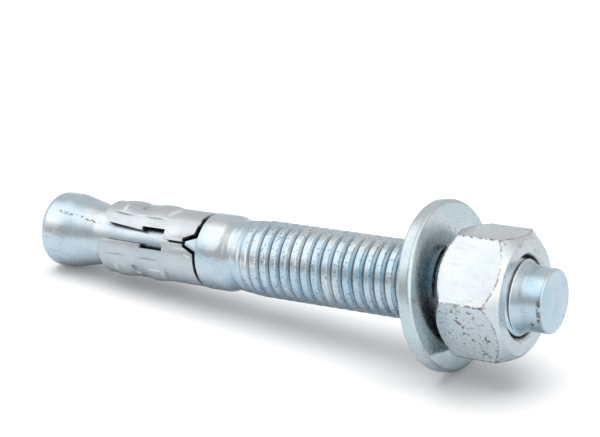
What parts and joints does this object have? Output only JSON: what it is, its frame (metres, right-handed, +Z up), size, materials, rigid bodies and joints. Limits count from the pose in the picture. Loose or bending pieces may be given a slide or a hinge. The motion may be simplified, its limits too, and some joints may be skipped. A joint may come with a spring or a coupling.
{
  "type": "wedge anchor",
  "caption": "Expansion bolt for masonry, lying down: cone-ended stud with a dog point, slotted clip, washer and hex nut; the nut screws along the thread.",
  "frame": {"origin": "on the surface that the anchor lies on, under the middle of its bounding box", "axes": "+Z up, +X along the bolt towards the nut end, whose axis rises about 5 degrees, Y across"},
  "size_m": [0.0958, 0.027, 0.0267],
  "materials": {
    "zinc_bolt": "bright blue-white zinc plating, slightly scuffed",
    "zinc_clip": "bright zinc plating on rolled sheet, scuffed",
    "zinc_washer": "smooth zinc plating",
    "zinc_nut": "bright zinc plating with brown specks"
  },
  "bodies": {
    "bolt": {"anchor_bolt": "zinc_bolt", "expansion_clip": "zinc_clip"},
    "washer": {"washer": "zinc_washer"},
    "nut": {"hex_nut": "zinc_nut"}
  },
  "joints": [
    {"name": "washer_travel", "type": "slide", "parent": "bolt", "child": "washer", "axis": [0.9957, 0, 0.093], "range_m": [-0.034, 0.0114]},
    {"name": "nut_spin", "type": "hinge", "parent": "washer", "child": "nut", "pos_m": [0.03724, 0, 0.0141], "axis": [0.9957, 0, 0.093], "range_deg": [-6269.1, 2105.3]}
  ],
  "couplings": [
    {"joint": "nut_spin", "follows": "washer_travel", "rad_per_m": 3215.6}
  ]
}
